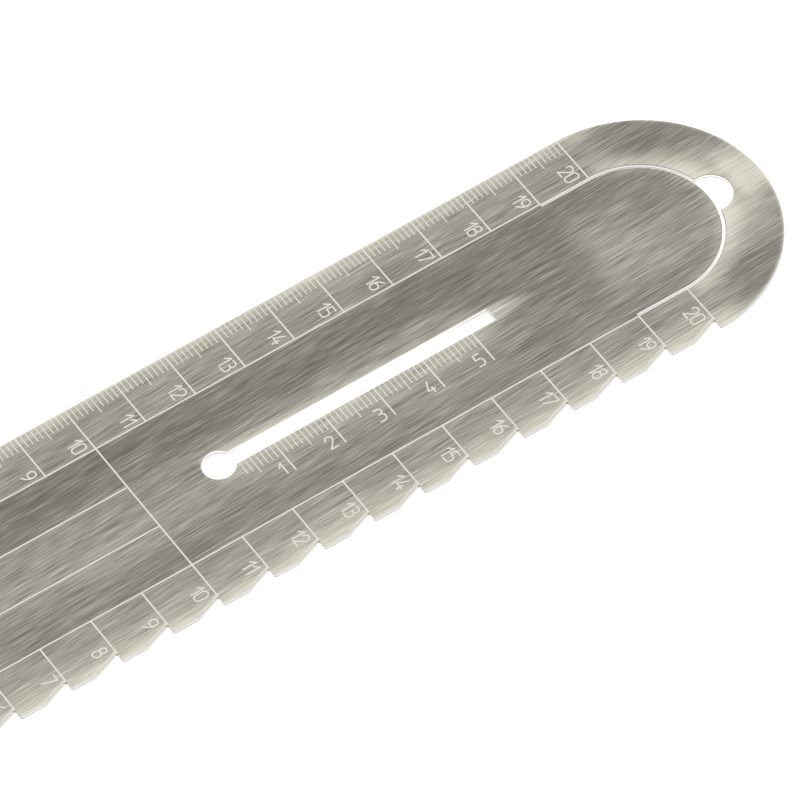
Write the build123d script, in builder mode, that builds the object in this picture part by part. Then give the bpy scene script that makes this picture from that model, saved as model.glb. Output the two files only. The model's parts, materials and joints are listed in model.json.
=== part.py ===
from build123d import *
from math import ceil, floor
import os

# Sewing gauge: a flat ruler cut from one sheet of spring-hard stainless steel.
# Sizes are in millimetres. X runs along the gauge from its zero end to its round end,
# Y runs across it towards the millimetre scale, and Z points out of the engraved face.
# The origin is under the middle of the sheet, on its back face.

# Sheet
gauge_length = 225.0
gauge_width = 50.0
sheet_thickness = 0.8
zero_corner_radius = 1.5
edge_break = 0.1

# Stepped edge: every centimetre the edge drops square to full width, runs flat, then slopes in
step_depth = 1.9
step_flat = 4.9
step_tip_radius = 0.5

# Band along each long edge, from the edge to its guide line; the clip's ring is as wide
band_width = 10.0

# Spring clip at the round end: a tongue inside a ring, parted by one narrow slit
clip_straight = 10.0
slit_width = 0.6
hanging_hole_radius = 4.0

# Keyhole slot for a chalk or a pencil point, its length from the keyhole's middle
slot_to_clip = 20.0
slot_length = 55.0
slot_width = 3.0
keyhole_radius = 3.0

# Scales
centimetre = 10.0
millimetres_per_centimetre = 10
short_tick = 3.0
middle_tick = 4.0
slot_long_tick = 7.0

# Guide lines: the inner pair ends at a cross line, on the last centimetre well before the keyhole
inner_line_offset = 5.0
cross_line_to_keyhole = 10.0

# Engraving
engraving_depth = 0.05
line_groove = 0.3
tick_groove = 0.2

# Numerals, measured over the groove
numeral_height = 2.9
numeral_width = 1.6
numeral_groove = 0.28
numeral_gap = 0.18
numeral_to_tick = 0.85
numeral_to_guide_line = 0.85
numeral_to_stepped_edge = 2.8
slot_numeral_to_tick = 1.35

# Counting and picking helpers
count_margin_share = 0.01
pick_margin = 0.01

# Places worked out from the sizes above
edge_y = gauge_width / 2
zero_x = -gauge_length / 2
straight_length = gauge_length - edge_y
round_end_x = zero_x + straight_length
root_x = round_end_x - clip_straight
keyhole_x = root_x - slot_to_clip - slot_length
clip_half_width = edge_y - band_width
tongue_half_width = clip_half_width - slit_width
hanging_hole_x = round_end_x + clip_half_width
notch_y = step_depth - edge_y
step_slope_run = centimetre - step_flat
millimetre = centimetre / millimetres_per_centimetre
last_number = floor(straight_length / centimetre + count_margin_share)
last_slot_number = floor(slot_length / centimetre + count_margin_share)
cross_line_number = floor((keyhole_x - cross_line_to_keyhole - zero_x) / centimetre + count_margin_share)
cross_line_x = zero_x + cross_line_number * centimetre
groove_floor = Plane.XY.offset(sheet_thickness - engraving_depth)
clip_root = Plane.YZ.offset(root_x)

# Pen strokes of each numeral, as shares of the numeral's width and height between the
# middles of its outer strokes. A stroke is its points, then the roundness of its corners
# as shares of that width.
pen_strokes_shares = {
    "0": [([(0.5, 1), (0, 1), (0, 0), (0.5, 0)], [0.45, 0.45]),
          ([(0.5, 1), (1, 1), (1, 0), (0.5, 0)], [0.45, 0.45])],
    "1": [([(0.46, 0.66), (1, 1), (1, 0)], [0])],
    "2": [([(0, 0.72), (0, 1), (1, 1), (1, 0.62), (0, 0), (1, 0)], [0.45, 0.45, 0.6, 0])],
    "3": [([(0, 1), (0.94, 1), (0.94, 0.56), (0.3, 0.56)], [0.4, 0.4]),
          ([(0.3, 0.56), (1, 0.56), (1, 0), (0, 0)], [0.45, 0.45])],
    "4": [([(0.6, 1), (0, 0.27), (1, 0.27)], [0]),
          ([(0.72, 0.46), (0.72, 0)], [])],
    "5": [([(0.95, 1), (0.08, 1), (0.04, 0.58), (1, 0.58), (1, 0), (0, 0)], [0, 0, 0.45, 0.45])],
    "6": [([(0.5, 0.56), (0, 0.56), (0, 0), (0.5, 0)], [0.45, 0.45]),
          ([(0.5, 0.56), (1, 0.56), (1, 0), (0.5, 0)], [0.45, 0.45]),
          ([(0.78, 1), (0, 0.62), (0, 0.28)], [1.2])],
    "7": [([(0, 1), (1, 1), (0.32, 0)], [0])],
    "8": [([(0.5, 0.56), (0, 0.56), (0, 0), (0.5, 0)], [0.45, 0.45]),
          ([(0.5, 0.56), (1, 0.56), (1, 0), (0.5, 0)], [0.45, 0.45]),
          ([(0.5, 1), (0.08, 1), (0.08, 0.56), (0.5, 0.56)], [0.38, 0.38]),
          ([(0.5, 1), (0.92, 1), (0.92, 0.56), (0.5, 0.56)], [0.38, 0.38])],
    "9": [([(0.5, 0.44), (0, 0.44), (0, 1), (0.5, 1)], [0.45, 0.45]),
          ([(0.5, 0.44), (1, 0.44), (1, 1), (0.5, 1)], [0.45, 0.45]),
          ([(0.22, 0), (1, 0.38), (1, 0.72)], [1.2])],
}
narrow_start_shares = {"1": 0.42}


def numeral(digit):
    """One engraved numeral, its strokes' lower right middle at the origin."""
    pen_width = numeral_width - numeral_groove
    pen_height = numeral_height - numeral_groove
    with BuildSketch() as drawn:
        for points, roundness in pen_strokes_shares[digit]:
            with BuildLine(mode=Mode.PRIVATE) as stroke:
                places = [((x - 1) * pen_width, y * pen_height) for x, y in points]
                if roundness:
                    FilletPolyline(*places, radius=[share * pen_width for share in roundness])
                else:
                    Line(*places)
            SlotArc(stroke.wire(), numeral_groove)
    return drawn.sketch


def number_places(number, corner, turn):
    """Where each numeral goes in a number that ends at this lower right outer corner."""
    places = []
    reach = numeral_groove / 2
    for digit in reversed(str(number)):
        places.append((digit, Location(corner, turn) * Location((-reach, numeral_groove / 2))))
        start_share = narrow_start_shares.get(digit, 0)
        reach += (numeral_width - numeral_groove) * (1 - start_share) + numeral_groove + numeral_gap
    return places


def hang_ticks(places, edge, length, groove):
    """Ticks that hang down from an edge at each of these places, run out over its broken corner."""
    with Locations(*[(place, edge + edge_break) for place in places]):
        Rectangle(groove, length + edge_break, align=(Align.CENTER, Align.MAX))


def millimetre_scale(start_x, edge, first_mark, last_mark, long_tick):
    """Hang a tick at each millimetre, longer at each half and longest at each centimetre."""
    long_places, middle_places, short_places = [], [], []
    for mark in range(first_mark, last_mark + 1):
        place = start_x + mark * millimetre
        if mark % millimetres_per_centimetre == 0:
            long_places.append(place)
        elif mark % (millimetres_per_centimetre // 2) == 0:
            middle_places.append(place)
        else:
            short_places.append(place)
    hang_ticks(long_places, edge, long_tick, line_groove)
    hang_ticks(middle_places, edge, middle_tick, tick_groove)
    hang_ticks(short_places, edge, short_tick, tick_groove)


def clip_profile(half_width):
    """The tongue-shaped outline: straight from the root, then a half round."""
    with BuildSketch() as profile:
        with BuildLine():
            side = Line((root_x, half_width), (round_end_x, half_width))
            tip = ThreePointArc(side @ 1, (round_end_x + half_width, 0), (round_end_x, -half_width))
            Polyline(tip @ 1, (root_x, -half_width), side @ 0)
        make_face()
    return profile.sketch


# The sheet as it is cut out, with its edges broken
with BuildPart() as sheet:
    # Outline with its stepped edge
    with BuildSketch() as outline:
        with Locations((zero_x, 0)):
            Rectangle(straight_length, gauge_width, align=(Align.MIN, Align.CENTER))
        with Locations((round_end_x, 0)):
            Circle(edge_y)
        step_tips = [(zero_x + n * centimetre, -edge_y) for n in range(1, last_number + 1)]
        with Locations(*step_tips):
            Polygon((0, 0), (0, step_depth), (-step_slope_run, 0), align=None, mode=Mode.SUBTRACT)
        lowest = outline.vertices().group_by(Axis.Y)[0]
        fillet([v for v in lowest if any(abs(v.X - x) < pick_margin for x, y in step_tips)], step_tip_radius)
        fillet(outline.vertices().group_by(Axis.X)[0], zero_corner_radius)
    extrude(amount=sheet_thickness)

    # Slit round the tongue, with the hanging hole in the ring beyond its tip
    with BuildSketch():
        add(clip_profile(clip_half_width))
        with Locations((hanging_hole_x, 0)):
            Circle(hanging_hole_radius)
        add(clip_profile(tongue_half_width), mode=Mode.SUBTRACT)
    extrude(amount=sheet_thickness, mode=Mode.SUBTRACT)

    # Keyhole slot
    with BuildSketch():
        with Locations((keyhole_x, 0)):
            Circle(keyhole_radius)
            Rectangle(slot_length, slot_width, align=(Align.MIN, Align.CENTER))
    extrude(amount=sheet_thickness, mode=Mode.SUBTRACT)

    # Broken edges on both faces
    faces_by_height = sheet.faces().sort_by(Axis.Z)
    chamfer(faces_by_height[0].edges() + faces_by_height[-1].edges(), edge_break)

# Millimetre scale along the straight edge
with BuildSketch(groove_floor) as edge_scale:
    last_mark = last_number * millimetres_per_centimetre
    millimetre_scale(zero_x, edge_y, 1, last_mark, band_width)

# Guide lines, the cross line and the centimetre marks above the stepped edge
with BuildSketch(groove_floor) as line_marks:
    with Locations((zero_x, clip_half_width), (zero_x, -clip_half_width)):
        Rectangle(root_x - zero_x, line_groove, align=(Align.MIN, Align.CENTER))
    with Locations((zero_x, inner_line_offset), (zero_x, -inner_line_offset)):
        Rectangle(cross_line_x - zero_x, line_groove, align=(Align.MIN, Align.CENTER))
    with Locations((cross_line_x, 0)):
        Rectangle(line_groove, 2 * clip_half_width)
    with Locations(*[(x, notch_y) for x, y in step_tips]):
        Rectangle(line_groove, -clip_half_width - notch_y, align=(Align.CENTER, Align.MIN))

# Scale below the slot, from its first millimetre clear of the keyhole
with BuildSketch(groove_floor) as slot_scale:
    first_mark = ceil(keyhole_radius / millimetre - count_margin_share)
    last_mark = last_slot_number * millimetres_per_centimetre
    millimetre_scale(keyhole_x, -slot_width / 2, first_mark, last_mark, slot_long_tick)

# Numbers: both long scales read across the gauge, the slot's scale reads along it
with BuildSketch(groove_floor) as numbers:
    numeral_places = []
    for number in range(1, last_number + 1):
        foot_x = zero_x + number * centimetre - numeral_to_tick - numeral_height
        numeral_places += number_places(number, (foot_x, clip_half_width + numeral_to_guide_line), -90)
        numeral_places += number_places(number, (foot_x, numeral_to_stepped_edge - edge_y), -90)
    for number in range(1, last_slot_number + 1):
        right_x = keyhole_x + number * centimetre - slot_numeral_to_tick
        numeral_places += number_places(number, (right_x, -slot_width / 2 - slot_long_tick), 0)
    for digit in pen_strokes_shares:
        with Locations(*[place for placed, place in numeral_places if placed == digit]):
            add(numeral(digit))

# Rigid ruler from the zero end to the clip's root
with BuildPart() as ruler_body:
    add(sheet.part)
    split(bisect_by=clip_root, keep=Keep.BOTTOM)
    for marks in (edge_scale, line_marks, slot_scale, numbers):
        extrude(marks.sketch, amount=2 * engraving_depth, mode=Mode.SUBTRACT)

# Beyond the root the slit leaves two springs, the tongue inside and the wider ring around it
with BuildPart() as clip_springs:
    add(sheet.part)
    split(bisect_by=clip_root, keep=Keep.TOP)
springs_by_width = clip_springs.solids().sort_by(lambda spring: spring.bounding_box().size.Y)

with BuildPart() as clip_tongue:
    add(springs_by_width[0])

with BuildPart() as clip_ring:
    add(springs_by_width[-1])
    for marks in (edge_scale, line_marks, numbers):
        extrude(marks.sketch, amount=2 * engraving_depth, mode=Mode.SUBTRACT)

ruler_body.part.label = "ruler_body"
clip_tongue.part.label = "clip_tongue"
clip_ring.part.label = "clip_ring"

os.makedirs("parts", exist_ok=True)
export_step(ruler_body.part, "parts/ruler_body.step")
export_step(clip_tongue.part, "parts/clip_tongue.step")
export_step(clip_ring.part, "parts/clip_ring.step")
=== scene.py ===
"""Brushed steel sewing gauge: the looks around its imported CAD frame, for Blender 4.5.

Every length is in metres, in the frame's own axes: X along the gauge from its zero end to its
round end, Y across it towards the millimetre scale, Z out of the engraved face.
"""

import json
import logging
import math
from dataclasses import dataclass
from enum import Enum

import bmesh
import bpy
from mathutils import Matrix, Vector

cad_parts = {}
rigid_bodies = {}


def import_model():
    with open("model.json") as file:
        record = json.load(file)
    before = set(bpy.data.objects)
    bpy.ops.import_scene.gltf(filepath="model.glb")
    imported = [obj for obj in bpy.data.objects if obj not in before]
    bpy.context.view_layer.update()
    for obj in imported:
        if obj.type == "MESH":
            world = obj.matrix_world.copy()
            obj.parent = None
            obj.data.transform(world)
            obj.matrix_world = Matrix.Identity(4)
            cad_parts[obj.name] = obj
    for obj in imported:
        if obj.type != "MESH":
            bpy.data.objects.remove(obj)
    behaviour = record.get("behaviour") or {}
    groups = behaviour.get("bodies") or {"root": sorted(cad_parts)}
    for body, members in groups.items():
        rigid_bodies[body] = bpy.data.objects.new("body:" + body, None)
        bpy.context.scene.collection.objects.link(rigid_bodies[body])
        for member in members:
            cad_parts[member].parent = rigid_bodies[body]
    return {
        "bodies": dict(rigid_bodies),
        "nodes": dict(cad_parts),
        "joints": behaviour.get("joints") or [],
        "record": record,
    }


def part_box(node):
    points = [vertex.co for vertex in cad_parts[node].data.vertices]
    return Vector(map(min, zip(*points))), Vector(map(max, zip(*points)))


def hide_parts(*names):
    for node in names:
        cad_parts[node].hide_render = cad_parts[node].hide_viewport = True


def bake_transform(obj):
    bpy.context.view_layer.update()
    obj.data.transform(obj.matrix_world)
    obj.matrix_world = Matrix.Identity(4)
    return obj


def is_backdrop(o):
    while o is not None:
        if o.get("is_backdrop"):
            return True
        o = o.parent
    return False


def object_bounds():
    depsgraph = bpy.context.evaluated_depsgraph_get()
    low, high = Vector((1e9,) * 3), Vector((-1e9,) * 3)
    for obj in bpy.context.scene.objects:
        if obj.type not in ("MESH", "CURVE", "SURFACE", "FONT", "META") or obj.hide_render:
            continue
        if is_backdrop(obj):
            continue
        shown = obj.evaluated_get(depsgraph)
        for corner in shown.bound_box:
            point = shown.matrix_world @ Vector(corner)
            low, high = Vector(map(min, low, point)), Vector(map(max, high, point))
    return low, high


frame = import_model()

Socket = bpy.types.NodeSocket
Colour = tuple[float, float, float, float]
Point = tuple[float, float, float]
Feed = Socket | float | Point | Colour

log = logging.getLogger("sewing_gauge")

MM = 0.001
REST_PLACE = "rest_place"
MIDDLE_TONE = 0.5  # also what a noise gives on average


def as_seen(red: int, green: int, blue: int) -> Colour:
    """A colour as it looks on a screen, turned by the sRGB curve into linear values.

    Args:
        red, green, blue: the screen's channels, 0 to 255.

    Returns:
        The linear colour, opaque.
    """
    seen = [channel / 255 for channel in (red, green, blue)]
    linear = [c / 12.92 if c <= 0.04045 else ((c + 0.055) / 1.055) ** 2.4 for c in seen]
    return (linear[0], linear[1], linear[2], 1.0)


class PlaceSource(Enum):
    """Where a pattern reads its place on the steel."""

    OWN_AXES = "own_axes"
    KEPT_AT_REST = "kept_at_rest"


@dataclass(frozen=True)
class Plan:
    """The gauge's outline and openings, as the frame has them.

    Attributes:
        zero_end: X of the straight end.
        round_start: X of the round end's centre, where the last step is.
        half_width: half the gauge's width.
        face_height: Z of the engraved face.
        clip_root: X of the line where the tongue and the ring start to bend.
        keyhole: X of the keyhole's middle.
        slot_end: X of the marking slot's closed end.
        hanging_hole: X of the hanging hole's middle.
        slot_half_width: half the marking slot's width.
        guide_line: Y of the guide line along the scale; the other one is as far below the middle.
        slit_half_width: half the width of the clip's slit, which lies just inside the guide lines.
    """

    zero_end: float
    round_start: float
    half_width: float
    face_height: float
    clip_root: float
    keyhole: float
    slot_end: float
    hanging_hole: float
    slot_half_width: float = 1.5 * MM
    guide_line: float = 15.0 * MM
    slit_half_width: float = 0.3 * MM

    @classmethod
    def measured(cls, packed: dict) -> "Plan":
        """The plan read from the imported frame.


        Returns:
            The plan, in metres.
        """
        body_low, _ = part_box("ruler_body")
        ring_low, ring_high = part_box("clip_ring")
        half_width = (ring_high.y - ring_low.y) / 2
        mounts = {mount["name"]: mount for mount in packed["record"]["mounts"]}
        keyhole = mounts["keyhole"]["pos_m"][0]
        slot_start = keyhole + mounts["keyhole"]["dims"]["r_mm"] * MM
        return cls(
            zero_end=body_low.x,
            round_start=ring_high.x - half_width,
            half_width=half_width,
            face_height=ring_high.z,
            clip_root=ring_low.x,
            keyhole=keyhole,
            slot_end=2 * mounts["marking_slot"]["pos_m"][0] - slot_start,
            hanging_hole=mounts["hanging_hole"]["pos_m"][0],
        )

    @property
    def slit(self) -> float:
        """The radius of the slit's middle line."""
        return self.guide_line - self.slit_half_width


class Bench:
    """Lays out one node tree and wires it."""

    def __init__(self, tree: bpy.types.NodeTree) -> None:
        """Starts from an empty tree."""
        self.tree = tree
        self.tree.nodes.clear()

    def node(self, kind: str, **settings: object) -> bpy.types.Node:
        """Adds a node.

        Args:
            kind: the node's Blender type.
            **settings: the node's own properties.

        Returns:
            The new node.
        """
        made = self.tree.nodes.new(kind)
        for name, value in settings.items():
            setattr(made, name, value)
        return made

    def feed(self, socket: Socket, value: Feed) -> None:
        """Wires an output into a socket, or sets the socket's own value.

        Args:
            socket: the input.
            value: the output to wire in, or the value.
        """
        if isinstance(value, Socket):
            self.tree.links.new(value, socket)
        else:
            socket.default_value = value

    def split(self, vector: Feed) -> tuple[Socket, Socket, Socket]:
        """Takes a vector apart.

        Args:
            vector: the vector.

        Returns:
            The sockets of its X, Y and Z.
        """
        made = self.node("ShaderNodeSeparateXYZ")
        self.feed(made.inputs[0], vector)
        return made.outputs["X"], made.outputs["Y"], made.outputs["Z"]

    def maths(self, operation: str, first: Feed, second: Feed = 0.0) -> Socket:
        """One sum on two numbers.

        Args:
            operation: Blender's name for it.
            first, second: the numbers, or the sockets that give them.

        Returns:
            The result's socket.
        """
        made = self.node("ShaderNodeMath", operation=operation)
        self.feed(made.inputs[0], first)
        self.feed(made.inputs[1], second)
        return made.outputs[0]

    def total(self, first: Feed, second: Feed, *others: Feed) -> Socket:
        """Adds numbers up.

        Args:
            first, second, *others: the numbers.

        Returns:
            The sum's socket.
        """
        running = self.maths("ADD", first, second)
        for other in others:
            running = self.maths("ADD", running, other)
        return running

    def product(self, first: Feed, second: Feed, *others: Feed) -> Socket:
        """Multiplies numbers.

        Args:
            first, second, *others: the numbers.

        Returns:
            The product's socket.
        """
        running = self.maths("MULTIPLY", first, second)
        for other in others:
            running = self.maths("MULTIPLY", running, other)
        return running

    def rest(self, share: Feed) -> Socket:
        """What a share leaves of 1."""
        return self.maths("SUBTRACT", 1.0, share)

    def fade(self, value: Feed, start: float, end: float) -> Socket:
        """A soft step from 0 to 1.

        Args:
            value: what the step is read along.
            start, end: where it is 0 and where it is 1; end may be the smaller.

        Returns:
            The step's socket.
        """
        flipped = end < start
        made = self.node("ShaderNodeMapRange", interpolation_type="SMOOTHSTEP")
        self.feed(made.inputs["Value"], value)
        self.feed(made.inputs["From Min"], min(start, end))
        self.feed(made.inputs["From Max"], max(start, end))
        self.feed(made.inputs["To Min"], 1.0 if flipped else 0.0)
        self.feed(made.inputs["To Max"], 0.0 if flipped else 1.0)
        return made.outputs["Result"]

    def off_centre(self, along: Feed, across: Feed, start: float) -> Socket:
        """The distance from the middle line, or past the round end's start from its centre.

        Args:
            along, across: the place's X and Y.
            start: X of that centre.

        Returns:
            The distance's socket.
        """
        beyond = self.maths("MAXIMUM", self.maths("SUBTRACT", along, start), 0.0)
        squares = self.total(self.product(beyond, beyond), self.product(across, across))
        return self.maths("SQRT", squares)

    def mixed(self, amount: Feed, first: Feed, second: Feed, kind: str = "RGBA") -> Socket:
        """Two colours or numbers, mixed.

        Args:
            amount: 0 gives the first, 1 the second.
            first, second: the two.
            kind: RGBA for colours, FLOAT for numbers.

        Returns:
            The mix's socket.
        """
        made = self.node("ShaderNodeMix", data_type=kind)
        self.feed(made.inputs[0], amount)
        sockets = [s for s in made.inputs if s.enabled and s.name in ("A", "B")]
        self.feed(sockets[0], first)
        self.feed(sockets[1], second)
        return next(s for s in made.outputs if s.enabled)


@dataclass(frozen=True)
class Grain:
    """One layer of marks in the steel, drawn out along the gauge.

    Attributes:
        length: how long a mark is along X.
        width: how wide it is across Y.
        weight: how much it darkens or brightens the steel.
        seed: where in the noise it starts, so that no two layers match.
        slant: how far the marks lean off X towards the scale, in degrees.
        detail: how many finer layers it holds.
        fineness: how much a finer layer counts against the one before it.
    """

    length: float
    width: float
    weight: float
    seed: float
    slant: float = 0.0
    detail: float = 1.0
    fineness: float = 0.62

    def pattern(self, bench: Bench, place: Socket) -> Socket:
        """The layer's marks, about 0 on average.

        Args:
            bench: the tree to lay it in.
            place: the place on the steel.

        Returns:
            The weighted marks' socket.
        """
        start = (self.seed * self.length, self.seed * math.pi * self.width, 0.0)
        stretched = bench.node("ShaderNodeMapping", vector_type="TEXTURE")
        bench.feed(stretched.inputs["Vector"], place)
        bench.feed(stretched.inputs["Rotation"], (0.0, 0.0, math.radians(self.slant)))
        bench.feed(stretched.inputs["Location"], start)
        bench.feed(stretched.inputs["Scale"], (self.length, self.width, 1.0))
        noise = bench.node("ShaderNodeTexNoise", noise_dimensions="3D")
        bench.feed(noise.inputs["Vector"], stretched.outputs["Vector"])
        bench.feed(noise.inputs["Scale"], 1.0)
        bench.feed(noise.inputs["Detail"], self.detail)
        bench.feed(noise.inputs["Roughness"], self.fineness)
        return bench.product(bench.maths("SUBTRACT", noise.outputs[0], MIDDLE_TONE), self.weight)


@dataclass(frozen=True)
class Patch:
    """A part of the steel that differs from the rest.

    Attributes:
        name: what its last node is labelled.
        lift: how strong it is where it is full.
        across: pairs of Y, where the patch has faded out and where it is full.
        along: the same for X; none where it runs the whole length.
    """

    name: str
    lift: float
    across: tuple[float, ...]
    along: tuple[float, ...] = ()

    def shine(self, bench: Bench, along: Feed, across: Feed) -> Socket:
        """The patch's strength at a place.

        Args:
            bench: the tree to lay it in.
            along, across: the place's X and Y.

        Returns:
            The strength's socket, 0 outside the patch.
        """
        fades = [
            bench.fade(value, faded, full)
            for value, places in ((across, self.across), (along, self.along))
            for faded, full in zip(places[::2], places[1::2], strict=True)
        ]
        shape = bench.product(self.lift, *fades)
        shape.node.label = self.name
        return shape


@dataclass(frozen=True)
class Steps:
    """The stepped edge: each step has a flat, then a slope up to the next centimetre's corner.

    Attributes:
        pitch: from one step to the next.
        flat: the flat's length.
        depth: how far up the slope ends.
        start: how far a slope's mask takes to come up.
        stop, gone: how far before the corner the mask starts to drop, and has dropped.
        near, far: how far in from a slope its edge reaches, at full strength and at all.
    """

    pitch: float = 10.0 * MM
    flat: float = 4.9 * MM
    depth: float = 1.9 * MM
    start: float = 1.2 * MM
    stop: float = 0.15 * MM
    gone: float = 0.045 * MM
    near: float = 0.2 * MM
    far: float = 0.5 * MM

    def slope(self, bench: Bench, plan: Plan, along: Feed, across: Feed) -> tuple[Socket, Socket]:
        """Where the slopes are.

        Args:
            bench: the tree to lay it in.
            plan: the gauge's outline.
            along, across: the place's X and Y.

        Returns:
            The sockets of the distance in from the stepped edge, and of a mask that is 1 at a slope.
        """
        turn = bench.maths("MODULO", bench.maths("SUBTRACT", along, plan.zero_end), self.pitch)
        climb = bench.maths("MAXIMUM", bench.maths("SUBTRACT", turn, self.flat), 0.0)
        rise = bench.product(climb, self.depth / (self.pitch - self.flat))
        gap = bench.maths("SUBTRACT", bench.total(across, plan.half_width), rise)
        started = bench.fade(turn, self.flat, self.flat + self.start)
        going = bench.fade(turn, self.pitch - self.gone, self.pitch - self.stop)
        straight = bench.fade(along, plan.round_start + self.stop, plan.round_start)
        return gap, bench.product(started, going, straight)

    def edge(self, bench: Bench, plan: Plan, along: Feed, across: Feed) -> Socket:
        """Where the slopes' very edge and its wall are.

        Args:
            bench: the tree to lay it in.
            plan: the gauge's outline.
            along, across: the place's X and Y.

        Returns:
            The mask's socket.
        """
        gap, slope = self.slope(bench, plan, along, across)
        return bench.product(bench.fade(gap, self.far, self.near), slope)


@dataclass(frozen=True)
class WearAndSheen:
    """Where the brushed face is painted brighter: partly real wear from deburring and use, partly
    painted sheen, where the studio's light and the sheet's slight bow show in the steel.

    Attributes:
        base: how much brighter the whole face is than its middle colour.
        rim_reach, rim_lift: the hairline all round the outline.
        slope_reach, slope_lift: the steps' slopes, partly deburring wear, partly painted glow along
            their edges.
        slit_reach, slit_lift: the ring's inner side, along the slit's arc.
        bow_reach, bow_sheen: painted sheen on the ring's middle part, round the hanging hole, where the
            sheet's bow catches the light.
        bow_side: how far to the side that is full, as a share of the slit's radius.
        ring_lift: the whole ring.
        lip_reach, lip_lift: the tongue's side of the slit's arc.
        arc_before, arc_after: how far before and after the round end's start the arc's shine comes up.
        steps: where the slopes are.
    """

    base: float = 0.02
    rim_reach: float = 0.7 * MM
    rim_lift: float = 0.2
    slope_reach: float = 0.8 * MM
    slope_lift: float = 0.5
    slit_reach: float = 5.0 * MM
    slit_lift: float = 0.22
    bow_reach: float = 12.0 * MM
    bow_sheen: float = 0.17
    bow_side: float = 0.4
    ring_lift: float = 0.05
    lip_reach: float = 2.5 * MM
    lip_lift: float = 0.12
    arc_before: float = 1.0 * MM
    arc_after: float = 4.0 * MM
    steps: Steps = Steps()

    def lift(self, bench: Bench, plan: Plan, along: Feed, across: Feed) -> Socket:
        """How much brighter the face is at a place.

        Args:
            bench: the tree to lay it in.
            plan: the gauge's outline.
            along, across: the place's X and Y.

        Returns:
            The lift's socket.
        """
        patches = (*self._sides(plan), *self._middle(plan), *self._slot(plan), *self._clip(plan))
        shines = [patch.shine(bench, along, across) for patch in patches]
        gap, slope = self.steps.slope(bench, plan, along, across)
        # painted glow along the steps' slopes, partly deburring wear
        painted_light_tone = bench.product(bench.fade(gap, self.slope_reach, 0.0), self.slope_lift, slope)
        off_centre = bench.off_centre(along, across, plan.round_start)
        rim = self._rim(bench, plan, along, off_centre)
        arc = self._arc(bench, plan, along, across, off_centre)
        return bench.total(self.base, rim, arc, painted_light_tone, *shines)

    def _sides(self, plan: Plan) -> tuple[Patch, ...]:
        """The scale's side and the stepped side, each painted brighter from its guide line to its edge:
        painted sheen, the studio's light on the brushed steel.

        Args:
            plan: the gauge's outline.

        Returns:
            The patches.
        """
        edge, line = plan.half_width, plan.guide_line
        straight = (plan.round_start + 10.0 * MM, plan.round_start)
        return (
            Patch("scale_side", 0.1, (line - 0.1 * MM, line + 0.2 * MM), straight),
            Patch("scale_ticks", 0.04, (edge - 6.0 * MM, edge - 4.0 * MM), straight),
            Patch("scale_edge", 0.14, (edge - 3.6 * MM, edge - 0.3 * MM), straight),
            Patch("stepped_side", 0.12, (0.1 * MM - line, -0.2 * MM - line), straight),
            Patch("step_numbers", 0.09, (7.0 * MM - edge, 3.5 * MM - edge), straight),
            Patch("step_tips", 0.22, (3.6 * MM - edge, -0.2 * MM - edge), straight),
        )

    def _middle(self, plan: Plan) -> tuple[Patch, ...]:
        """The strip between the guide lines, with painted sheen that is brightest beside the slot.

        Args:
            plan: the gauge's outline.

        Returns:
            The patches.
        """
        line = plan.guide_line
        ruler = (plan.slot_end + 3.0 * MM, plan.slot_end - 10.0 * MM)
        return (
            Patch("above_slot", 0.08, (8.5 * MM, 4.0 * MM, -1.0 * MM, 1.0 * MM), ruler),
            Patch("below_slot", 0.08, (-12.5 * MM, -4.0 * MM, 1.0 * MM, -1.0 * MM), ruler),
            Patch("lower_half", 0.05, (-line, 0.2 * MM - line, 3.0 * MM, -3.0 * MM)),
        )

    def _slot(self, plan: Plan) -> tuple[Patch, ...]:
        """Both sides of the slot, with a painted glow, and the bright trail that the brush left behind
        its end.

        Args:
            plan: the gauge's outline.

        Returns:
            The patches.
        """
        side, end, hole = plan.slot_half_width, plan.slot_end, plan.keyhole
        upper = (side + 2.2 * MM, side + 0.2 * MM, 0.0, side)
        beside = (end + 4.0 * MM, end - 4.0 * MM, hole - 4.0 * MM, hole)
        trail = (end - 0.5 * MM, end, end + 10.0 * MM, end)
        soft = 0.4 * MM
        return (
            Patch("slot_upper_side", 0.1, upper, beside),
            Patch("slot_upper_glow", 0.16, upper, (end, hole, hole - 4.0 * MM, hole)),
            Patch("slot_lower_side", 0.15, (-6.0 * MM, -side, 0.0, -side), beside),
            Patch("slot_trail", 0.24, (-side - soft, soft - side, side + soft, side - soft), trail),
            Patch("slot_trail_hair", 0.22, (-0.3 * MM, 0.0, 0.5 * MM, 0.2 * MM), trail),
        )

    def _clip(self, plan: Plan) -> tuple[Patch, ...]:
        """The tongue, with a broad painted sheen, and the trail behind the hanging hole.

        Args:
            plan: the gauge's outline.

        Returns:
            The patches.
        """
        root, hole = plan.clip_root, plan.hanging_hole
        whole = (root - 3.0 * MM, root + 3.0 * MM)
        heart = (root - 3.0 * MM, root + 4.0 * MM, root + 16.0 * MM, root + 5.0 * MM)
        behind = (hole + 1.0 * MM, hole + 4.0 * MM)
        return (
            Patch("tongue", 0.06, (-15.0 * MM, -5.0 * MM, 15.0 * MM, 5.0 * MM), whole),
            Patch("tongue_heart", 0.06, (-12.0 * MM, -2.0 * MM, 12.0 * MM, 2.0 * MM), heart),
            Patch("hole_trail", 0.25, (-6.5 * MM, -1.0 * MM, 9.0 * MM, 3.0 * MM), behind),
        )

    def _rim(self, bench: Bench, plan: Plan, along: Feed, off_centre: Feed) -> Socket:
        """The hairline round the outline.

        Args:
            bench: the tree to lay it in.
            plan: the gauge's outline.
            along: the place's X.
            off_centre: its distance from the middle.

        Returns:
            The lift's socket.
        """
        end_gap = bench.maths("SUBTRACT", along, plan.zero_end)
        side_gap = bench.maths("SUBTRACT", plan.half_width, off_centre)
        gap = bench.maths("MINIMUM", side_gap, end_gap)
        return bench.product(bench.fade(gap, self.rim_reach, 0.0), self.rim_lift)

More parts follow.
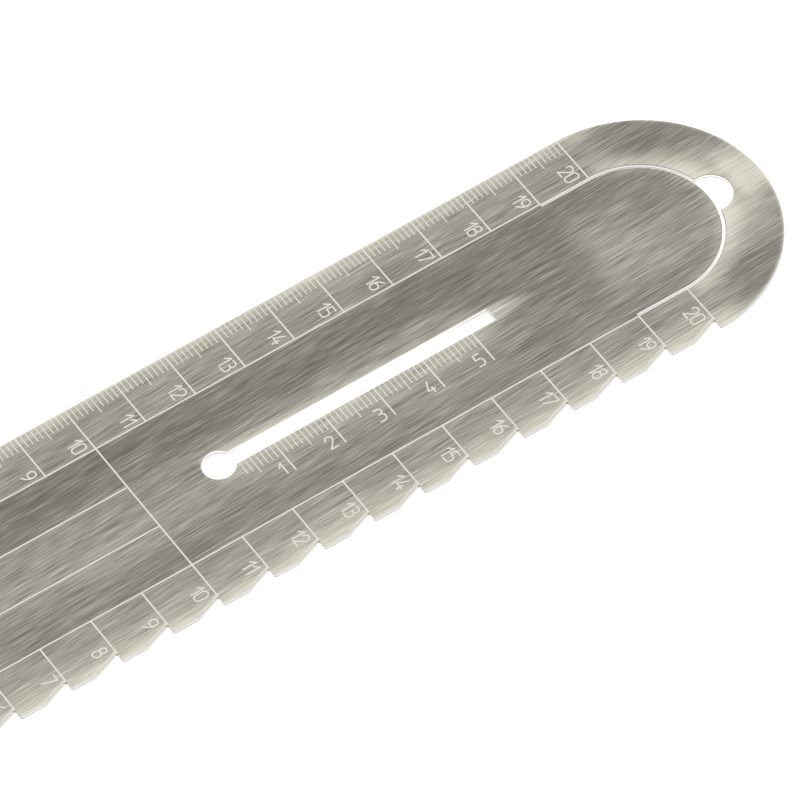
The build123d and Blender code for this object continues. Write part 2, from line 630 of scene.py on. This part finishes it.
    def _arc(self, bench: Bench, plan: Plan, along: Feed, across: Feed, off_centre: Feed) -> Socket:
        """Both sides of the slit's arc, painted brighter; the ring's middle part also gets the painted
        sheen of the sheet's bow.

        Args:
            bench: the tree to lay it in.
            plan: the gauge's outline.
            along, across: the place's X and Y.
            off_centre: its distance from the middle.

        Returns:
            The lift's socket.
        """
        slit = plan.slit
        on_ring = bench.maths("GREATER_THAN", off_centre, slit)
        near = bench.product(bench.fade(off_centre, slit + self.slit_reach, slit), self.slit_lift)
        # painted sheen: the light that the sheet's bow shows on the ring's middle
        bow = bench.product(bench.fade(off_centre, slit + self.bow_reach, slit), self.bow_sheen)
        low = bench.fade(bench.maths("ABSOLUTE", across), slit, self.bow_side * slit)
        ring = bench.product(bench.total(self.ring_lift, near, bench.product(bow, low)), on_ring)
        lip = bench.product(bench.fade(off_centre, slit - self.lip_reach, slit), self.lip_lift)
        both = bench.total(ring, bench.product(lip, bench.rest(on_ring)))
        arc = bench.fade(along, plan.round_start - self.arc_before, plan.round_start + self.arc_after)
        return bench.product(both, arc)


@dataclass(frozen=True)
class Engraving:
    """The frosted marks cut into the face.

    Attributes:
        colour: the frosted steel's colour.
        grey, streaks: how much of the face's colour is in it, all over and in the hairs.
        roughness: how matte it is.
        depth: the groove's depth.
        floor_slack: how far under a groove's floor the steel still counts as the groove.
        face_slack: how far under the face it starts to.
    """

    colour: Colour = as_seen(255, 252, 243)
    grey: float = 0.02
    streaks: float = 0.35
    roughness: float = 0.5
    depth: float = 0.05 * MM
    floor_slack: float = 0.01 * MM
    face_slack: float = 0.003 * MM

    def frost(self, bench: Bench, hairs: Feed, face: Colour) -> Socket:
        """The marks' colour, with a little of the brushing in it."""
        amount = bench.total(bench.product(hairs, self.streaks), self.grey)
        return bench.mixed(amount, self.colour, face)

    def region(self, bench: Bench, plan: Plan, height: Feed) -> Socket:
        """Where the grooves are, also inside the broken edges.

        Args:
            bench: the tree to lay it in.
            plan: the gauge's outline.
            height: the place's Z.

        Returns:
            The mask's socket.
        """
        floor = plan.face_height - self.depth - self.floor_slack
        deep = bench.maths("GREATER_THAN", height, floor)
        under_face = bench.maths("LESS_THAN", height, plan.face_height - self.face_slack)
        return bench.product(deep, under_face)


@dataclass(frozen=True)
class CutEdge:
    """The sheet's cut walls and their broken edges.

    Attributes:
        wall, painted_light_tone: the cut wall's colour inside the openings, painted whiter against
            their shade, and round the outline, painted darker where the lamps light it.
        shoulder, slit_shoulder: the broken edge's colour, and what it is along the clip's slit.
        wall_tilt, shoulder_tilt: the most that a wall and a broken edge face up, 1 being level.
        foot_shade: painted shade at the wall's foot, a grey line along its lower edge.
        foot_shade_top, foot_shade_full: how high up the wall that reaches, at all and at full strength.
        mark: the cutting marks down the wall.
        mark_base: how much of their colour the wall has between them.
        roughness: how matte the wall is.
        slot_unshaded, slope_unshaded: how much of that painted shade is taken away at the slot and the
            slopes.
        rim_from, rim_to: how far in from the round end's edge the outline's look starts and is full.
        zero_from, zero_to: the same from the straight end.
        root_fade: how far before the clip's root the slit's look starts.
        steps: where the slopes are.
    """

    # painted light: the walls in the openings are whiter, the walls round the outline darker, for the
    # shade and lamp light that each gets
    wall: Colour = as_seen(250, 249, 246)
    painted_light_tone: Colour = as_seen(210, 209, 205)
    shoulder: Colour = as_seen(224, 221, 212)
    slit_shoulder: Colour = as_seen(166, 164, 156)
    wall_tilt: float = 0.4
    shoulder_tilt: float = 0.9
    # painted shade: the grey line at the foot of each cut wall
    foot_shade: Colour = as_seen(92, 91, 92)
    foot_shade_top: float = 0.34 * MM
    foot_shade_full: float = 0.136 * MM
    mark: Grain = Grain(length=0.14 * MM, width=0.14 * MM, weight=0.15, seed=41.3)
    mark_base: float = 0.01
    roughness: float = 0.22
    slot_unshaded: float = 0.8
    slope_unshaded: float = 0.5
    rim_from: float = 5.0 * MM
    rim_to: float = 4.0 * MM
    zero_from: float = 2.0 * MM
    zero_to: float = 1.0 * MM
    root_fade: float = 1.0 * MM
    steps: Steps = Steps()

    def colour(self, bench: Bench, plan: Plan, place: Socket, dark: Colour) -> Socket:
        """The wall's colour, with the cutting marks down it and painted shade at its foot.

        Args:
            bench: the tree to lay it in.
            plan: the gauge's outline.
            place: the place on the steel.
            dark: the colour of the cutting marks.

        Returns:
            The colour's socket.
        """
        along, across, height = bench.split(place)
        outside = self._outside(bench, plan, along, across)
        marked = bench.total(self.mark.pattern(bench, place), self.mark_base)
        # painted light: the openings' walls whiter than the outline's
        streaked = bench.mixed(marked, bench.mixed(outside, self.wall, self.painted_light_tone), dark)
        slot = self._slot_sides(plan).shine(bench, along, across)
        slope = bench.product(self.steps.edge(bench, plan, along, across), self.slope_unshaded)
        kept = bench.rest(bench.total(slot, slope))
        # painted shade at the wall's foot, taken away at the slot and the slopes
        foot = bench.fade(height, self.foot_shade_top, self.foot_shade_full)
        return bench.mixed(bench.product(foot, kept), streaked, self.foot_shade)

    def broken(self, bench: Bench, plan: Plan, along: Feed, across: Feed) -> Socket:
        """The broken edge's colour.

        Args:
            bench: the tree to lay it in.
            plan: the gauge's outline.
            along, across: the place's X and Y.

        Returns:
            The colour's socket.
        """
        before_clip = bench.fade(along, plan.clip_root, plan.clip_root - self.root_fade)
        plain = bench.maths("MAXIMUM", self._outside(bench, plan, along, across), before_clip)
        return bench.mixed(plain, self.slit_shoulder, self.shoulder)

    def regions(self, bench: Bench) -> tuple[Socket, Socket]:
        """Where the walls and the broken edges are, by the way that the steel faces.

        Args:
            bench: the tree to lay them in.

        Returns:
            The masks' sockets.
        """
        facing = bench.node("ShaderNodeNewGeometry").outputs["True Normal"]
        upright = bench.maths("ABSOLUTE", bench.split(facing)[2])
        wall = bench.maths("LESS_THAN", upright, self.wall_tilt)
        leaning = bench.maths("GREATER_THAN", upright, self.wall_tilt)
        shoulder = bench.product(leaning, bench.maths("LESS_THAN", upright, self.shoulder_tilt))
        return wall, shoulder

    def _slot_sides(self, plan: Plan) -> Patch:
        """The slot's straight sides, where most of the painted shade at the wall's foot is taken away.

        Args:
            plan: the gauge's outline.

        Returns:
            The patch.
        """
        side, end, hole = 2.0 * plan.slot_half_width, plan.slot_end, plan.keyhole
        beside = (side + 1.0 * MM, side, -side - 1.0 * MM, -side)
        straight = (end - 3.0 * MM, end - 9.0 * MM, hole + 2.5 * MM, hole + 6.0 * MM)
        return Patch("slot_walls", self.slot_unshaded, beside, straight)

    def _outside(self, bench: Bench, plan: Plan, along: Feed, across: Feed) -> Socket:
        """Where the gauge's outline runs: 1 there and 0 at its openings.

        Args:
            bench: the tree to lay it in.
            plan: the gauge's outline.
            along, across: the place's X and Y.

        Returns:
            The mask's socket.
        """
        off_centre = bench.off_centre(along, across, plan.round_start)
        rim = bench.fade(off_centre, plan.half_width - self.rim_from, plan.half_width - self.rim_to)
        zero_rim = bench.fade(along, plan.zero_end + self.zero_from, plan.zero_end + self.zero_to)
        return bench.maths("MAXIMUM", rim, zero_rim)


@dataclass(frozen=True)
class BrushedSteel:
    """Stainless sheet brushed along its length, with engraved marks and cut edges.

    Attributes:
        dark, middle, bright: the brushed face's colours, from its darkest marks to its brightest.
        grains: the layers of marks; the first also shows in the shine.
        hairs: the finest layer, which also scatters the shine across the gauge.
        wear_and_sheen: where the face is painted brighter, partly real wear, partly painted sheen.
        engraving: the marks cut into the face.
        edge: the cut walls.
        roughness: the face's roughness.
        roughness_swing: how far the marks move it.
        relief: the height of the hairs, as far as the shine shows it.
    """

    dark: Colour = as_seen(34, 34, 31)
    middle: Colour = as_seen(131, 129, 120)
    bright: Colour = as_seen(240, 236, 222)
    grains: tuple[Grain, ...] = (
        Grain(length=11.0 * MM, width=0.18 * MM, weight=0.42, seed=3.7, slant=2.5),
        Grain(length=26.0 * MM, width=0.3 * MM, weight=0.2, seed=7.1, slant=2.4),
        Grain(length=60.0 * MM, width=1.2 * MM, weight=0.13, seed=11.3, slant=2.0),
        Grain(length=24.0 * MM, width=5.0 * MM, weight=0.13, seed=21.9, slant=2.0),
    )
    hairs: Grain = Grain(length=6.0 * MM, width=0.1 * MM, weight=0.82, seed=31.1, slant=2.8)
    wear_and_sheen: WearAndSheen = WearAndSheen()
    engraving: Engraving = Engraving()
    edge: CutEdge = CutEdge()
    roughness: float = 0.34
    roughness_swing: float = 0.3
    relief: float = 0.03 * MM

    def material(self, name: str, plan: Plan, source: PlaceSource) -> bpy.types.Material:
        """The finish as a material.

        Args:
            name: the material's name.
            plan: the gauge's outline.
            source: where the patterns read their place.

        Returns:
            The new material.
        """
        made = bpy.data.materials.new(name)
        made.use_nodes = True
        bench = Bench(made.node_tree)
        place = self._place(bench, source)
        along, across, height = bench.split(place)
        marks = [grain.pattern(bench, place) for grain in self.grains]
        hairs = self.hairs.pattern(bench, place)
        wall, shoulder = self.edge.regions(bench)
        groove = bench.product(self.engraving.region(bench, plan, height), bench.rest(shoulder))

        # painted sheen and glow, with some real wear at the edges, brighten the face's tone here
        lift = self.wear_and_sheen.lift(bench, plan, along, across)
        face = self._toned(bench, bench.total(MIDDLE_TONE, hairs, lift, *marks))
        colour = bench.mixed(wall, face, self.edge.colour(bench, plan, place, self.dark))
        colour = bench.mixed(shoulder, colour, self.edge.broken(bench, plan, along, across))
        colour = bench.mixed(groove, colour, self.engraving.frost(bench, hairs, self.middle))

        relief = bench.total(hairs, marks[0])
        roughness = bench.total(bench.product(relief, self.roughness_swing), self.roughness)
        roughness = bench.mixed(wall, roughness, self.edge.roughness, "FLOAT")
        roughness = bench.mixed(groove, roughness, self.engraving.roughness, "FLOAT")
        self._shade(bench, colour, roughness, relief, groove)
        return made

    def _shade(self, bench: Bench, colour: Feed, roughness: Feed, relief: Feed, groove: Feed) -> None:
        """Wires the shader, which is metal everywhere except in the frosted grooves.

        Args:
            bench: the tree to lay it in.
            colour: the steel's colour.
            roughness: its roughness.
            relief: its marks, as heights.
            groove: where the grooves are.
        """
        bump = bench.node("ShaderNodeBump")
        bench.feed(bump.inputs["Distance"], self.relief)
        bench.feed(bump.inputs["Height"], relief)
        shader = bench.node("ShaderNodeBsdfPrincipled")
        bench.feed(shader.inputs["Base Color"], colour)
        bench.feed(shader.inputs["Metallic"], bench.rest(groove))
        bench.feed(shader.inputs["Roughness"], roughness)
        bench.feed(shader.inputs["Normal"], bump.outputs["Normal"])
        output = bench.node("ShaderNodeOutputMaterial")
        bench.feed(output.inputs["Surface"], shader.outputs["BSDF"])

    def _place(self, bench: Bench, source: PlaceSource) -> Socket:
        """The place on the steel.

        Args:
            bench: the tree to lay it in.
            source: what gives the place.

        Returns:
            The place's socket.
        """
        if source is PlaceSource.OWN_AXES:
            return bench.node("ShaderNodeTexCoord").outputs["Object"]
        return bench.node("ShaderNodeAttribute", attribute_name=REST_PLACE).outputs["Vector"]

    def _toned(self, bench: Bench, tone: Feed) -> Socket:
        """The brushed face's colour.

        Args:
            bench: the tree to lay it in.
            tone: from 0, dark, to 1, bright.

        Returns:
            The colour's socket.
        """
        ramp = bench.node("ShaderNodeValToRGB")
        stops = ramp.color_ramp.elements
        stops[0].color, stops[1].color = self.dark, self.bright
        stops.new(MIDDLE_TONE).color = self.middle
        bench.feed(ramp.inputs["Fac"], tone)
        return ramp.outputs["Color"]


@dataclass
class RulerBody:
    """The straight part of the gauge, which never bends: its CAD node, dressed.

    Attributes:
        node: the CAD node.
        finish: its steel.
    """

    node: str = "ruler_body"
    finish: BrushedSteel = BrushedSteel()

    def build(self, plan: Plan) -> bpy.types.Object:
        """Dresses the node.

        Args:
            plan: the gauge's outline.

        Returns:
            The node's object.
        """
        shown = frame["nodes"][self.node]
        steel = self.finish.material("brushed_steel_ruler", plan, PlaceSource.OWN_AXES)
        for slot in shown.material_slots:
            slot.material = steel
        return shown


@dataclass(frozen=True)
class SpringLeaf:
    """One member of the clip, which bends out of the sheet like a leaf spring.

    Attributes:
        piece: the piece's name.
        node: the CAD node that it stands for.
        body: the CAD body that its node belongs to.
        root_body: the CAD body at its root.
        bend: how far from the root its bend reaches.
        cuts: how many lines across it share the bend.
        facet: the largest angle, in degrees, that is still shaded round.
        weld: how near two points count as one.
    """

    piece: str
    node: str
    body: str
    root_body: str = "ruler"
    bend: float = 20.0 * MM
    cuts: int = 24
    facet: float = 24.0
    weld: float = 0.0005 * MM

    def build(self, plan: Plan, steel: bpy.types.Material) -> bpy.types.Object:
        """Makes the leaf and hides its CAD node.

        Args:
            plan: the gauge's outline.
            steel: its material, which reads the place kept at rest.

        Returns:
            The leaf's object.
        """
        leaf = bpy.data.objects.new(self.piece, self._mesh(plan, steel))
        bpy.context.scene.collection.objects.link(leaf)
        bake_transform(leaf)
        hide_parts(self.node)
        return leaf

    def _mesh(self, plan: Plan, steel: bpy.types.Material) -> bpy.types.Mesh:
        """The solid's own faces, cut across where they bend.

        Args:
            plan: the gauge's outline.
            steel: the mesh's material.

        Returns:
            The mesh, which keeps each point's place at rest for its patterns.
        """
        mesh = bpy.data.meshes.new(self.piece)
        work = bmesh.new()
        work.from_mesh(frame["nodes"][self.node].data)
        bmesh.ops.remove_doubles(work, verts=work.verts, dist=self.weld)
        lengthwise = (1.0, 0.0, 0.0)
        for step in range(1, self.cuts + 1):
            line = (plan.clip_root + self.bend * step / self.cuts, 0.0, 0.0)
            parts = [*work.verts, *work.edges, *work.faces]
            bmesh.ops.bisect_plane(work, geom=parts, plane_co=line, plane_no=lengthwise, dist=self.weld)
        for face in work.faces:
            face.smooth = True
        work.to_mesh(mesh)
        work.free()
        mesh.attributes.remove(mesh.attributes["custom_normal"])
        mesh.set_sharp_from_angle(angle=math.radians(self.facet))
        kept = mesh.attributes.new(REST_PLACE, "FLOAT_VECTOR", "POINT")
        for vertex, place in zip(mesh.vertices, kept.data, strict=True):
            place.vector = vertex.co
        mesh.materials.clear()
        mesh.materials.append(steel)
        return mesh


@dataclass
class SpringClip:
    """The clip at the round end: the tongue inside the slit and the ring around it.

    Attributes:
        tongue, ring: the two leaves.
        finish: their steel.
    """

    tongue: SpringLeaf = SpringLeaf("tongue_leaf", node="clip_tongue", body="tongue")
    ring: SpringLeaf = SpringLeaf("ring_leaf", node="clip_ring", body="ring")
    finish: BrushedSteel = BrushedSteel()

    def build(self, plan: Plan) -> list[bpy.types.Object]:
        """Makes both leaves."""
        steel = self.finish.material("brushed_steel_clip", plan, PlaceSource.KEPT_AT_REST)
        return [leaf.build(plan, steel) for leaf in (self.tongue, self.ring)]


@dataclass(frozen=True)
class SoftBox:
    """A large soft lamp.

    Attributes:
        name: the lamp's name.
        place: where it hangs.
        size: its side.
        power: its light, in watts.
    """

    name: str
    place: Point
    size: float
    power: float

    def hang(self, aim: Vector) -> bpy.types.Object:
        """Hangs the lamp, turned towards a point.

        Args:
            aim: the point it lights.

        Returns:
            The lamp's object.
        """
        light = bpy.data.lights.new(self.name, "AREA")
        light.size = self.size
        light.energy = self.power
        lamp = bpy.data.objects.new(self.name, light)
        lamp.location = self.place
        lamp.rotation_euler = (aim - Vector(self.place)).to_track_quat("-Z", "Y").to_euler()
        bpy.context.scene.collection.objects.link(lamp)
        return lamp


@dataclass
class Studio:
    """A pale floor, a soft sky and three soft boxes.

    Attributes:
        floor_gap: how far under the sheet the floor lies, so that the ring can bend down.
        floor_side: the floor's side.
        paper: the floor's colour.
        paper_glow: how white the floor shows to the eye and in the steel, shadows aside.
        horizon, overhead: the sky's light near the horizon and overhead.
        sky_low, sky_high: where it turns from the one to the other, as shares of the way up.
        boxes: the lamps.
    """

    floor_gap: float = 2.5 * MM
    floor_side: float = 8.0
    paper: Colour = (0.8, 0.8, 0.8, 1.0)
    paper_glow: float = 0.75
    horizon: float = 1.0
    overhead: float = 0.88
    sky_low: float = 0.1
    sky_high: float = 0.6
    boxes: tuple[SoftBox, ...] = (
        SoftBox("soft_box_back", place=(0.5, 0.9, 1.3), size=0.9, power=0.65),
        SoftBox("soft_box_left", place=(-0.9, 0.3, 0.9), size=0.7, power=0.8),
        SoftBox("soft_box_front", place=(0.1, -1.1, 0.8), size=0.8, power=1.1),
    )

    def build(self) -> bpy.types.Object:
        """Makes the floor, the sky and the lamps.

        Returns:
            The floor's object.
        """
        floor = self._floor()
        self._sky()
        for box in self.boxes:
            box.hang(Vector((0.0, 0.0, 0.0)))
        return floor

    def _floor(self) -> bpy.types.Object:
        """The floor, a plain sheet of paper.

        Returns:
            The floor's object.
        """
        mesh = bpy.data.meshes.new("paper_floor")
        work = bmesh.new()
        bmesh.ops.create_grid(work, x_segments=1, y_segments=1, size=self.floor_side / 2)
        bmesh.ops.translate(work, verts=work.verts, vec=(0.0, 0.0, -self.floor_gap))
        work.to_mesh(mesh)
        work.free()
        mesh.materials.append(self._paper())
        floor = bpy.data.objects.new("paper_floor", mesh)
        bpy.context.scene.collection.objects.link(floor)
        floor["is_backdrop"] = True
        return floor

    def _paper(self) -> bpy.types.Material:
        """The floor's paper, white to the eye and in the steel except in the object's shadow.

        Returns:
            The material.
        """
        material = bpy.data.materials.new("white_paper")
        material.use_nodes = True
        bench = Bench(material.node_tree)
        path = bench.node("ShaderNodeLightPath")
        seen = bench.maths("MAXIMUM", path.outputs["Is Camera Ray"], path.outputs["Is Glossy Ray"])
        seen = bench.maths("MAXIMUM", seen, path.outputs["Is Transmission Ray"])
        diffuse = bench.node("ShaderNodeBsdfDiffuse")
        bench.feed(diffuse.inputs["Color"], self.paper)
        glow = bench.node("ShaderNodeEmission")
        bench.feed(glow.inputs["Strength"], bench.product(seen, self.paper_glow))
        both = bench.node("ShaderNodeAddShader")
        bench.feed(both.inputs[0], diffuse.outputs[0])
        bench.feed(both.inputs[1], glow.outputs[0])
        output = bench.node("ShaderNodeOutputMaterial")
        bench.feed(output.inputs["Surface"], both.outputs[0])
        return material

    def _sky(self) -> None:
        """The studio's soft sky, white at the horizon and dimmer overhead."""
        world = bpy.data.worlds.new("soft_sky")
        world.use_nodes = True
        bpy.context.scene.world = world
        bench = Bench(world.node_tree)
        direction = bench.node("ShaderNodeTexCoord").outputs["Generated"]
        high = bench.fade(bench.split(direction)[2], self.sky_low, self.sky_high)
        light = bench.node("ShaderNodeBackground")
        bench.feed(light.inputs["Strength"], bench.mixed(high, self.horizon, self.overhead, "FLOAT"))
        output = bench.node("ShaderNodeOutputWorld")
        bench.feed(output.inputs["Surface"], light.outputs[0])


@dataclass(frozen=True)
class Viewpoint:
    """The photographer's long lens.

    Attributes:
        place: where the camera stands.
        aim: the point on the face at the picture's middle.
        roll: how far the picture is turned, in degrees.
        focal_pixels: the focal length, in the picture's own pixels.
        picture_pixels: the picture's side.
        sensor: the sensor's side, in Blender's millimetres.
        nearest, farthest: how near and how far it sees.
    """

    place: Point = (-0.48117, -0.91955, 1.34299)
    aim: Point = (0.03477, -0.00633, 0.0008)
    roll: float = -5.03
    focal_pixels: float = 10119.1
    picture_pixels: float = 800.0
    sensor: float = 36.0
    nearest: float = 0.05
    farthest: float = 20.0

    def set_up(self) -> bpy.types.Object:
        """Makes the scene's camera.

        Returns:
            The camera's object.
        """
        lens = bpy.data.cameras.new("long_lens")
        lens.sensor_width = self.sensor
        lens.lens = self.focal_pixels * self.sensor / self.picture_pixels
        lens.clip_start, lens.clip_end = self.nearest, self.farthest
        camera = bpy.data.objects.new("long_lens", lens)
        sight = Vector(self.aim) - Vector(self.place)
        level = sight.to_track_quat("-Z", "Y").to_matrix().to_4x4()
        turned = Matrix.Rotation(math.radians(self.roll), 4, "Z")
        camera.matrix_world = Matrix.Translation(self.place) @ level @ turned
        bpy.context.scene.collection.objects.link(camera)
        bpy.context.scene.camera = camera
        return camera


def main(cad_box: tuple[Vector, Vector]) -> None:
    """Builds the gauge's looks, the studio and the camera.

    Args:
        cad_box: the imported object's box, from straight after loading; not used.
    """
    logging.basicConfig(level=logging.INFO, format="%(name)s: %(message)s")
    plan = Plan.measured(frame)
    body = RulerBody().build(plan)
    log.info("dressed %s, %d faces", body.name, len(body.data.polygons))
    for leaf in SpringClip().build(plan):
        log.info("made %s, %d faces", leaf.name, len(leaf.data.polygons))
    floor = Studio().build()
    log.info("laid %s", floor.name)
    camera = Viewpoint().set_up()
    log.info("set up %s, lens %.1f", camera.name, camera.data.lens)
    bpy.context.scene.view_settings.view_transform = "Standard"


if __name__ == "__main__":
    main(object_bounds())
